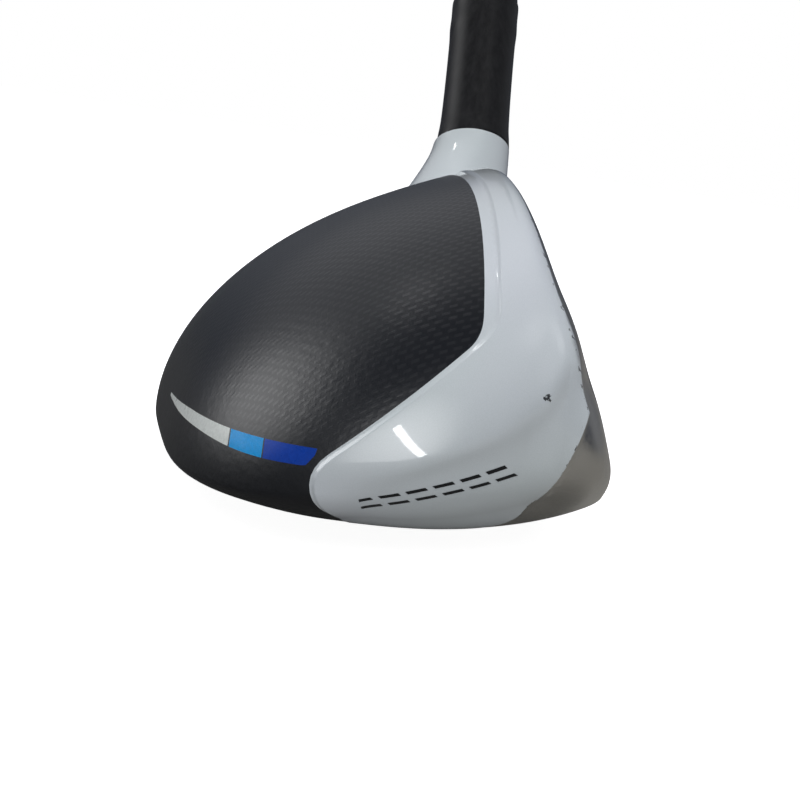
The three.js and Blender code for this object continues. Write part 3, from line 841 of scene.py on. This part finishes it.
def crown_satin():
    finish = Finish("crown_satin", (0.008, 0.009, 0.012), 0.35)
    across, along = (
        finish.math("COSINE", finish.times(finish.attribute(name), turns))
        for name, turns in (("wrap_across", 2 * math.pi / WEAVE_PITCH),
                            ("wrap_along", math.pi / WEAVE_ROW)))
    staggered = finish.times(across, finish.math("SIGN", along))
    rows = finish.range(finish.math("ABSOLUTE", along), 0.62, 0.86)
    weave = finish.times(finish.range(staggered, -0.55, 0.0), rows)
    height = finish.add("ShaderNodeSeparateXYZ", {0: finish.place}).outputs["Z"]
    weave = finish.times(weave, finish.range(height, *WEAVE_START_Z))
    speck = finish.noise(4500, 2)
    tone = finish.mix(speck, (0.005, 0.006, 0.008), (0.008, 0.009, 0.012))
    finish.color(weave, tone, (0.017, 0.018, 0.021))
    finish.roughness(weave, 0, 1, 0.36, 0.30)
    finish.bump(finish.noise(900, 3), 0.00004)
    finish.bump(weave, 0.000006)
    return finish.material


def band_ink(name, tone):
    finish = Finish(name, tone, 0.3, extra={"Coat Weight": 0.1, "Coat Roughness": 0.12,
                                            "Specular IOR Level": 0.2})
    speck = finish.range(finish.noise(2500, 2), 0.3, 0.7)
    finish.color(speck, tinted(tone, 0.86), tone)
    finish.roughness(finish.noise(800, 2), 0.3, 0.7, 0.26, 0.36)
    finish.bump(finish.noise(1800, 2), 0.000008)
    return finish.material


def dark_plastic(name, tone, roughness, shine=0.5):
    finish = Finish(name, tone, roughness, extra={"Specular IOR Level": shine})
    streak = finish.grain((900, 900, 120), 3)
    speck = finish.noise(5000, 2)
    finish.color(finish.range(streak, 0.35, 0.75), tone, tinted(tone, 1.5))
    finish.roughness(streak, 0.3, 0.7, roughness - 0.05, roughness + 0.06)
    finish.bump(speck, 0.00001)
    finish.bump(streak, 0.000012)
    return finish.material


def shaft_lacquer():
    finish = Finish("shaft_lacquer", (0.014, 0.015, 0.02), 0.3,
                    extra={"Coat Weight": 1.0, "Coat Roughness": 0.06})
    flakes = finish.range(finish.noise(11000, 1), 0.55, 0.75)
    fibre = finish.range(finish.grain((1500, 1500, 60), 3), 0.35, 0.7)
    tone = finish.mix(fibre, (0.010, 0.011, 0.015), (0.021, 0.022, 0.028))
    finish.color(finish.times(flakes, 0.3), tone, (0.12, 0.125, 0.14))
    finish.roughness(fibre, 0, 1, 0.25, 0.34)
    finish.bump(fibre, 0.000004)
    return finish.material


def grip_rubber(name="grip_rubber", tone=(0.018, 0.018, 0.019)):
    finish = Finish(name, tone, 0.78, extra={"Sheen Weight": 0.15, "Sheen Roughness": 0.5})
    pores = finish.noise(3200, 3, 0.6)
    worn = finish.range(finish.noise(35, 3), 0.45, 0.75)
    finish.color(worn, tone, tinted(tone, 1.7))
    finish.roughness(worn, 0, 1, 0.82, 0.66)
    finish.bump(pores, 0.00003)
    return finish.material


def grained(name, tone, roughness, noise, tones, roughs, depth, metallic=0.0):
    """A finish with one fine drawn-out grain, for the pieces inside."""
    finish = Finish(name, tone, roughness, metallic)
    grain = finish.grain(*noise)
    finish.color(grain, *tones)
    finish.roughness(grain, *roughs)
    finish.bump(grain, depth)
    return finish.material


def tape_paper():
    return grained("tape_paper", (0.66, 0.60, 0.48), 0.8, ((900, 900, 200), 4),
                   ((0.56, 0.50, 0.39), (0.76, 0.71, 0.60)), (0, 1, 0.7, 0.9), 0.00002)


def plug_brass():
    return grained("plug_brass", (0.60, 0.42, 0.16), 0.34, ((150, 150, 4000), 2, 0.5),
                   ((0.50, 0.35, 0.13), (0.68, 0.50, 0.22)), (0.3, 0.7, 0.28, 0.42), 0.00001,
                   metallic=1.0)


def floor_pale():
    finish = Finish("floor_pale", (0.86, 0.86, 0.86), 0.9)
    across = finish.add("ShaderNodeSeparateXYZ", {0: finish.place}).outputs["Y"]
    # mirrors see the floor with painted shade behind the head and a painted pool of light before
    # its face
    mirrored = finish.mix(finish.range(across, FLOOR_TURN, -FLOOR_TURN), *FLOOR_MIRRORED_PAINTED_LIGHT)
    finish.set("Base Color", by_ray(finish.tree, FLOOR_BOUNCE, mirrored, FLOOR_SEEN))
    glow = by_ray(finish.tree, FLOOR_LIGHT, (0.02, 0.02, 0.02), (1, 1, 1))
    finish.set("Emission Color", glow)
    finish.set("Emission Strength", FLOOR_GLOW)
    finish.set("Specular IOR Level", 0.0)
    return finish.material


# ---- The head's pieces
def tucked(p):
    """How far the toe is drawn in below its shoulder."""
    x, y, z = p.T
    softness = SHOULDER_SOFTNESS + SHOULDER_SPREAD * (y - SHOULDER_SHARP_Y) ** 2
    below = softness * np.logaddexp(0, -shoulder_line(p) / softness)
    depth = SHOULDER_DEPTH * (1 - np.exp(-SHOULDER_SLOPE * below / SHOULDER_DEPTH))
    ends = rise(TUCK_FRONT_Y, y) * fall(TUCK_BACK_Y, y)
    return depth * ends * fall(TUCK_X, x) * rise(TUCK_Z, z)


def swollen(p):
    """How far the toe end of the face stands out over the plain skin."""
    x, y, z = p.T
    height = rise(SWELL_RISE_Z, z) * fall(SWELL_FALL_Z, z)
    return TOE_SWELL * height * fall(SWELL_X, x) * fall(SWELL_Y, y)


def lowered(p):
    """How far the finished surface lies under the plain skin."""
    sole = sole_line(p)
    step = fall((-STEP_HALF_WIDTH, STEP_HALF_WIDTH), step_line(p))
    step *= fall(STEP_END_X, p[:, 0]) * rise(STEP_END_SOLE, sole)
    paint = fall((-PAINT_EDGE, PAINT_EDGE), np.minimum(sole, bare_line(p)))
    return STEP_DEPTH * step + PAINT_THICKNESS * paint + tucked(p) - swollen(p)


def finished_surface(points, extra=None):
    """The field of the finished surface near these points: the skin, lowered by its steps."""
    steepness = lengths(slope(skin, points))

    def field(p):
        deeper = extra(p) if extra else 0
        return skin(p) / steepness + lowered(p) + deeper

    return field


def score_depth(p):
    """Depth of the score lines across the face."""
    _, up = face_place(p)
    line = np.clip(np.round((up - SCORE_FIRST) / SCORE_PITCH), 0, SCORE_LINES - 1)
    from_line = np.abs(up - SCORE_FIRST - line * SCORE_PITCH)
    beyond = np.maximum(np.abs(p[:, 0] - SCORE_MIDDLE_X) - SCORE_HALF_LENGTH, 0)
    away = np.hypot(from_line, beyond)
    return SCORE_DEPTH * fall((SCORE_FLOOR, SCORE_WIDTH / 2), away)


def slot_filler_depth(p):
    return SLOT_DEPTH * fall(SLOT_WALL, slot_line(p))


def whole_skin():
    """The head's skin, cut along every line where its surface or its part changes."""
    patch = Patch(*surface_net(skin, HEAD_LOW, HEAD_HIGH, GRID_STEP))
    bends = (
        (bare_line, (-1.4, -0.7, -0.25, 0.25, 0.7, 1.4)),
        (step_line, [share * STEP_HALF_WIDTH for share in (-1, -0.35, 0.35, 1)]),
        (sole_line, (-PAINT_EDGE, PAINT_EDGE)),
        (shoulder_line, (-0.9, -0.3, 0.3, 0.9)),
    )
    for line, offsets in bends:
        for offset in offsets:
            patch.split(above(line, offset))
    for offset in (-0.6, -0.25, -0.08):
        patch.split(above(rim_line, offset))
        patch.split(above(collar_line, offset))
    for line, name in ((bore_line, "bore"), (face_line, "face"), (sole_line, "sole"),
                       (panel_line, "panel"), (bare_line, "bare")):
        patch.split(line, name)
    return patch


def head_pieces(finishes):
    skin_patch = whole_skin()
    side = skin_patch.sides
    kept = side["bore"] > 0
    is_face = kept & (side["face"] < 0)
    is_sole = kept & ~is_face & (side["sole"] < 0)
    is_panel = kept & ~is_face & ~is_sole & (side["panel"] < 0)
    is_body = kept & ~is_face & ~is_sole & ~is_panel

    body = skin_patch.part(is_body)
    paint_or_steel = (body.sides["bare"] < 0).astype(int)
    shell, points = closed_shell("head_shell", "head_body", body,
                                 [finishes["paint"], finishes["steel"]], bare=paint_or_steel)
    from_edge = np.minimum(np.abs(sole_line(points)), np.abs(bare_line(points)))
    add_attribute(shell, "rim", from_edge)

    make_face(skin_patch.part(is_face), finishes)
    make_sole(skin_patch.part(is_sole), finishes)
    make_crown(skin_patch.part(is_panel), finishes)


def make_face(patch, finishes):
    for height in SCORE_FIRST + np.arange(SCORE_LINES) * SCORE_PITCH:
        for share in (-0.5, -0.25, 0.25, 0.5):
            level = height + share * SCORE_WIDTH
            patch.split(lambda p, level=level: face_place(p)[1] - level)
    closed_shell("face_surface", "face_plate", patch, [finishes["face"]], score_depth)


def make_sole(patch, finishes):
    patch.split(slot_line, "slot")
    sole = patch.part(patch.sides["slot"] > 0)
    closed_shell("sole_surface", "sole_plate", sole, [finishes["steel"]])
    filler = patch.part(patch.sides["slot"] < 0)
    filler.split(above(slot_line, SLOT_WALL[0]))
    closed_shell("slot_filler", "slot_insert", filler, [finishes["polymer"]], slot_filler_depth)


def make_crown(patch, finishes):
    patch.split(band_line, "band")
    for name, level in zip(("first", "second"), BAND_SPLITS):
        patch.split(lambda p, at=level: p[:, 1] - at, name)

    def gap_line(p):
        return np.min([np.abs(p[:, 1] - at) for at in BAND_SPLITS], axis=0) - BAND_GAP

    patch.split(gap_line, "gap")
    in_band = (patch.sides["band"] < 0) & (patch.sides["gap"] > 0)
    first, second = patch.sides["first"] > 0, patch.sides["second"] > 0
    parts = [
        ("crown_panel", ~in_band, "crown", "crown_plate"),
        ("band_grey", in_band & first, "grey", "band_light"),
        ("band_blue", in_band & ~first & second, "sky", "band_sky"),
        ("band_deep_blue", in_band & ~second, "royal", "band_royal"),
    ]
    for name, mask, finish, node in parts:
        piece, points = closed_shell(name, node, patch.part(mask), [finishes[finish]])
        if node == "crown_plate":
            add_attribute(piece, "wrap_across", wrapped(points, 1))
            add_attribute(piece, "wrap_along", wrapped(points, 0))


def wrapped(points, axis):
    """Length along the skin from the top of the crown, in upright planes along x (0) or y (1)."""
    other = 1 - axis
    across = np.linspace(-50, 50, 41)
    turn = np.radians(np.linspace(-30, 210, 161))
    none = np.zeros((len(across), len(turn)))

    def place(reach):
        p = np.empty(reach.shape + (3,))
        p[..., axis] = reach * np.cos(turn)
        p[..., other] = across[:, None]
        p[..., 2] = WAIST_HEIGHT + reach * np.sin(turn)
        return p

    def outside(reach):
        return dome(place(reach).reshape(-1, 3)).reshape(reach.shape) > 0

    reach = crossing(none, none + 80, outside)
    step = np.linalg.norm(np.diff(place(reach), axis=1), axis=2)
    length = np.concatenate((np.zeros((len(across), 1)), np.cumsum(step, axis=1)), axis=1)
    length -= length[:, [len(turn) // 2]]
    angle = np.arctan2(points[:, 2] - WAIST_HEIGHT, points[:, axis])
    column = np.interp(np.where(angle < -math.pi / 2, angle + 2 * math.pi, angle),
                       turn, np.arange(len(turn)))
    row = np.interp(points[:, other], across, np.arange(len(across)))
    i = np.minimum(column.astype(int), len(turn) - 2)
    j = np.minimum(row.astype(int), len(across) - 2)
    u, v = column - i, row - j
    return ((1 - u) * (1 - v) * length[j, i] + u * (1 - v) * length[j, i + 1]
            + (1 - u) * v * length[j + 1, i] + u * v * length[j + 1, i + 1])


# ---- Bars on the toe
def on_toe(y, z):
    """Points of the toe's skin at these side-view places."""
    inner, outer = np.full(y.shape, -20.0), np.full(y.shape, -52.0)
    x = crossing(inner, outer, lambda x: skin(np.stack((x, y, z), 1)) > 0)
    return np.stack((x, y, z), 1)


def bar_stroke(base, start, length, height):
    """Points on the toe under one slanted stroke, in rows across it."""
    run = np.concatenate(([0], np.cumsum(lengths(np.diff(base, axis=0)))))
    u, v = np.meshgrid(np.linspace(0, length, BAR_COLUMNS),
                       np.linspace(height, height + BAR_STROKE, BAR_ROWS), indexing="ij")
    u, v = u.ravel() + start + BAR_SLANT * v.ravel(), v.ravel()
    y, z = (np.interp(u, run, base[:, n]) for n in (0, 1))
    ahead_y, ahead_z = (np.interp(u + 0.5, run, base[:, n]) for n in (0, 1))
    step = np.maximum(np.hypot(ahead_y - y, ahead_z - z), 1e-6)
    points = on_toe(y + v * (ahead_z - z) / step, z - v * (ahead_y - y) / step)
    return settled(points, finished_surface(points))


def slab_faces():
    """Faces of a closed slab whose top and bottom are grids of points, one after the other."""
    count = BAR_COLUMNS * BAR_ROWS
    grid = np.arange(count).reshape(BAR_COLUMNS, BAR_ROWS)
    quads = np.stack((grid[:-1, :-1], grid[1:, :-1], grid[1:, 1:], grid[:-1, 1:]), -1)
    quads = quads.reshape(-1, 4)
    ring = np.concatenate((grid[:-1, 0], grid[-1, :-1], grid[:0:-1, -1], grid[0, :0:-1]))
    onward = np.roll(ring, -1)
    walls = np.stack((onward, ring, ring + count, onward + count), 1)
    return np.vstack((quads, quads[:, ::-1] + count, walls))


def toe_bars(finish):
    """A row of plain slanted bars, each of two strokes, as one piece of raised ink."""
    base = smooth_curve(BAR_BASE, 12)
    pitch = lengths(np.diff(base, axis=0)).sum() / BAR_COUNT
    points, faces = [], []
    for bar in range(BAR_COUNT):
        for height in BAR_STROKES:
            top = bar_stroke(base, bar * pitch, pitch - BAR_GAP, height)
            lift = BAR_RISE * unit(slope(finished_surface(top), top))
            faces.append(slab_faces() + sum(len(part) for part in points))
            points.append(np.vstack((top + lift, top - lift)))
    piece = make_object("toe_bars", np.vstack(points), np.vstack(faces), [finish])
    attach(piece, "root")


# ---- Turned pieces on the shaft axis
def turned(name, node, profile, finish, sides=96, relief=None):
    """A closed solid turned on the shaft axis through (radius, distance along) points."""
    profile = np.array(profile, float)
    angle = np.arange(sides) * 2 * np.pi / sides
    radius = np.repeat(profile[:, :1], sides, axis=1)
    along = np.repeat(profile[:, 1:], sides, axis=1)
    if relief is not None:
        radius = radius - relief(np.broadcast_to(angle, radius.shape), along, radius)
    front = np.cross((0, 1, 0), AXIS)
    round_way = np.cos(angle)[:, None] * front + np.sin(angle)[:, None] * np.array((0, 1, 0))
    points = FOOT + along[..., None] * AXIS + radius[..., None] * round_way
    index = np.arange(len(profile) * sides).reshape(len(profile), sides)
    onward = np.roll(index, -1, axis=0)
    quads = np.stack((index, np.roll(index, -1, axis=1), np.roll(onward, -1, axis=1), onward), -1)
    quads = quads.reshape(-1, 4)
    piece = make_object(name, points.reshape(-1, 3), quads, [finish])
    piece.data.polygons.foreach_set("use_smooth", np.ones(len(quads), bool))
    piece.data.set_sharp_from_angle(angle=math.radians(40))
    declare(piece, node)


def span(node):
    """Where a CAD node starts and ends along the shaft axis, in millimetres."""
    along = [(np.array(v.co) / MM - FOOT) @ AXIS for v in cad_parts[node].data.vertices]
    return min(along), max(along)


def shaft_radius(along):
    share = np.clip((along - SHAFT_PARALLEL_END) / (span("shaft")[1] - SHAFT_PARALLEL_END), 0, 1)
    return SHAFT_TIP_RADIUS + (SHAFT_BUTT_RADIUS - SHAFT_TIP_RADIUS) * share


def make_shaft(finish):
    tip, butt = span("shaft")
    outer = [(shaft_radius(s), s) for s in np.linspace(tip + 0.4, butt - 0.4, 60)]
    inner = [(r - SHAFT_WALL, s) for r, s in outer[::-1]]
    profile = [(outer[0][0] - 0.4, tip)] + outer + [(outer[-1][0] - 0.4, butt)]
    profile += [(inner[0][0] + 0.2, butt)] + inner + [(inner[-1][0] + 0.2, tip)]
    turned("shaft_tube", "shaft", profile, finish)


def make_ferrule(finish):
    start, end = span("ferrule")
    curve = smooth_curve(FERRULE_CURVE, 6)
    bore = SHAFT_TIP_RADIUS + 0.02
    foot = start - FERRULE_LAP
    profile = [(bore, foot), (FERRULE_CURVE[0][0] - 0.12, foot)]
    profile += [(radius, start + s) for radius, s in curve]
    profile += [(bore + 0.25, end - 0.25), (bore, end - 0.3)]
    turned("ferrule_collar", "ferrule", profile, finish)


def grip_relief(angle, along, radius):
    """Depth of the moulded pattern: crossed grooves in zones, with plain rings between."""
    mouth, end = span("grip_sleeve")
    turns = angle / (2 * np.pi) * GRIP_GROOVES
    climb = along / GRIP_PITCH
    one, other = (np.abs((turns + way * climb) % 1 - 0.5) for way in (1, -1))
    groove = fall((0.06, 0.15), np.minimum(one, other))
    length = end - mouth - GRIP_PATTERN_START - GRIP_PATTERN_END
    place = (along - mouth - GRIP_PATTERN_START) / length
    zone = np.abs((place * GRIP_ZONES) % 1 - 0.5)
    patterned = fall((0.44, 0.455), zone) * ((place > 0) & (place < 1))
    ring = rise((0.475, 0.49), zone) * ((place > -0.02) & (place < 1.02))
    outside = radius > shaft_radius(along) + 1.3
    return outside * (GRIP_RELIEF * groove * patterned + GRIP_RELIEF * ring)


def make_grip(finish):
    mouth, end = span("grip_sleeve")
    inner = [shaft_radius(s) + 1.0 for s in (mouth, end)]
    profile = [(inner[0], mouth)]
    profile += [(GRIP_MOUTH_RADIUS + out, mouth + s) for out, s in GRIP_LIP]
    start = mouth + GRIP_START
    for t in np.linspace(0, 1, GRIP_RINGS):
        swell = (GRIP_BUTT_RADIUS - GRIP_MOUTH_RADIUS) * (0.45 * t + 0.55 * t ** 3)
        profile.append((GRIP_MOUTH_RADIUS + swell, start + (end - start) * t))
    profile.append((inner[1], end))
    turned("grip_rubber_sleeve", "grip_sleeve", profile, finish, sides=144, relief=grip_relief)


def make_cap(finish):
    start, end = span("grip_cap")
    vent = CAP_VENT_RADIUS
    socket = SHAFT_BUTT_RADIUS + 0.9
    profile = [(vent, start + CAP_SOCKET), (socket, start + CAP_SOCKET), (socket, start),
               (GRIP_BUTT_RADIUS, start)]
    for t in np.linspace(0.1, 1, 14):
        inward = CAP_ROUNDING * (1 - math.sqrt(1 - t ** 2))
        profile.append((GRIP_BUTT_RADIUS - inward, start + (end - start) * t))
    profile += [(radius, end - depth) for radius, depth in CAP_GROOVE]
    profile += [(vent + 0.5, end), (vent, end - 0.5)]
    turned("grip_butt_cap", "grip_cap", profile, finish)


# ---- Studio
def set_up(name, data, place, across, up, back):
    """A light or camera at a place, with its own three axes."""
    thing = bpy.data.objects.new(name, data)
    thing.matrix_world = Matrix((across, up, back)).transposed().to_4x4()
    thing.location = place
    bpy.context.scene.collection.objects.link(thing)
    return thing


def area_light(name, place, target, long_side, size, power, in_mirrors):
    data = bpy.data.lights.new(name, "AREA")
    data.shape = "RECTANGLE"
    data.size, data.size_y = size
    data.energy = power
    back = (Vector(place) - Vector(target)).normalized()
    up = back.cross(Vector(long_side)).normalized()
    light = set_up(name, data, place, up.cross(back), up, back)
    light.visible_camera = False
    light.visible_glossy = in_mirrors
    light.visible_diffuse = not in_mirrors


def sky(tree):
    """The room as mirrors see it: dim, with a few soft patches."""
    direction = tree.nodes.new("ShaderNodeTexCoord").outputs["Generated"]
    total = MIRRORED_LIGHT
    for azimuth, height, radius, brightness in SKY_PATCHES:
        turn, lift = math.radians(azimuth), math.radians(height)
        middle = (math.cos(lift) * math.cos(turn), math.cos(lift) * math.sin(turn),
                  math.sin(lift))
        aim = add_node(tree, "ShaderNodeVectorMath", {0: direction, 1: middle},
                       operation="DOT_PRODUCT")
        inputs = {"Value": aim.outputs["Value"], "From Min": math.cos(math.radians(radius)),
                  "To Max": brightness}
        patch = add_node(tree, "ShaderNodeMapRange", inputs, interpolation_type="SMOOTHSTEP")
        inputs = {0: total, 1: patch.outputs[0]}
        total = add_node(tree, "ShaderNodeVectorMath", inputs).outputs[0]
    return total


def by_ray(tree, spread, mirrored, seen):
    """A colour that differs for spread light, for mirrors and for the camera."""
    path = tree.nodes.new("ShaderNodeLightPath")
    result = spread
    for kind, other in (("Is Glossy Ray", mirrored), ("Is Camera Ray", seen)):
        result = mixed(tree, path.outputs[kind], result, other)
    return result


def studio():
    world = bpy.data.worlds.new("studio")
    world.use_nodes = True
    tree = world.node_tree
    light = by_ray(tree, WORLD_LIGHT, sky(tree), (1, 1, 1))
    tree.links.new(light, tree.nodes["Background"].inputs["Color"])
    bpy.context.scene.world = world
    bpy.context.scene.view_settings.view_transform = "Standard"

    corners = np.array([(-1, -1, 0), (1, -1, 0), (1, 1, 0), (-1, 1, 0)]) * FLOOR_HALF / MM
    floor = make_object("floor", corners, np.arange(4)[None], [floor_pale()])
    floor.location.z = cad_box[0].z - FLOOR_DROP

    for name, settings in LIGHTS.items():
        area_light(name, *settings)


def camera():
    data = bpy.data.cameras.new("camera")
    data.sensor_width = 36
    data.lens = CAMERA_LENS
    data.clip_start = 0.01
    data.clip_end = 60
    forward = Vector((math.cos(CAMERA_PITCH) * math.cos(CAMERA_YAW),
                      math.cos(CAMERA_PITCH) * math.sin(CAMERA_YAW), -math.sin(CAMERA_PITCH)))
    level = forward.cross(Vector((0, 0, 1))).normalized()
    upright = level.cross(forward)
    across = math.cos(CAMERA_ROLL) * level + math.sin(CAMERA_ROLL) * upright
    up = across.cross(forward)
    eye = set_up("camera", data, CAMERA_PLACE, across, up, -forward)
    bpy.context.scene.camera = eye


# ---- The whole club
def build():
    finishes = {
        "paint": pearl_paint(),
        "steel": bare_steel(),
        "face": bare_steel("face_steel", (0.37, 0.355, 0.34), 0.42),
        "crown": crown_satin(),
        "grey": band_ink("band_grey_ink", (0.80, 0.84, 0.82)),
        "sky": band_ink("band_sky_ink", (0.006, 0.36, 0.86)),
        "royal": band_ink("band_royal_ink", (0.008, 0.058, 0.42)),
        "polymer": dark_plastic("slot_polymer", (0.012, 0.012, 0.013), 0.55),
    }
    head_pieces(finishes)
    toe_bars(band_ink("bar_ink", (0.012, 0.013, 0.015)))
    make_shaft(shaft_lacquer())
    make_ferrule(dark_plastic("ferrule_plastic", (0.015, 0.015, 0.016), 0.34, shine=0.14))
    make_grip(grip_rubber())
    make_cap(grip_rubber("cap_rubber", (0.024, 0.024, 0.025)))
    for node, finish in (("tip_weight", plug_brass()), ("grip_tape", tape_paper())):
        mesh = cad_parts[node].data
        for slot in range(len(mesh.materials)):
            mesh.materials[slot] = finish


build()
studio()
camera()
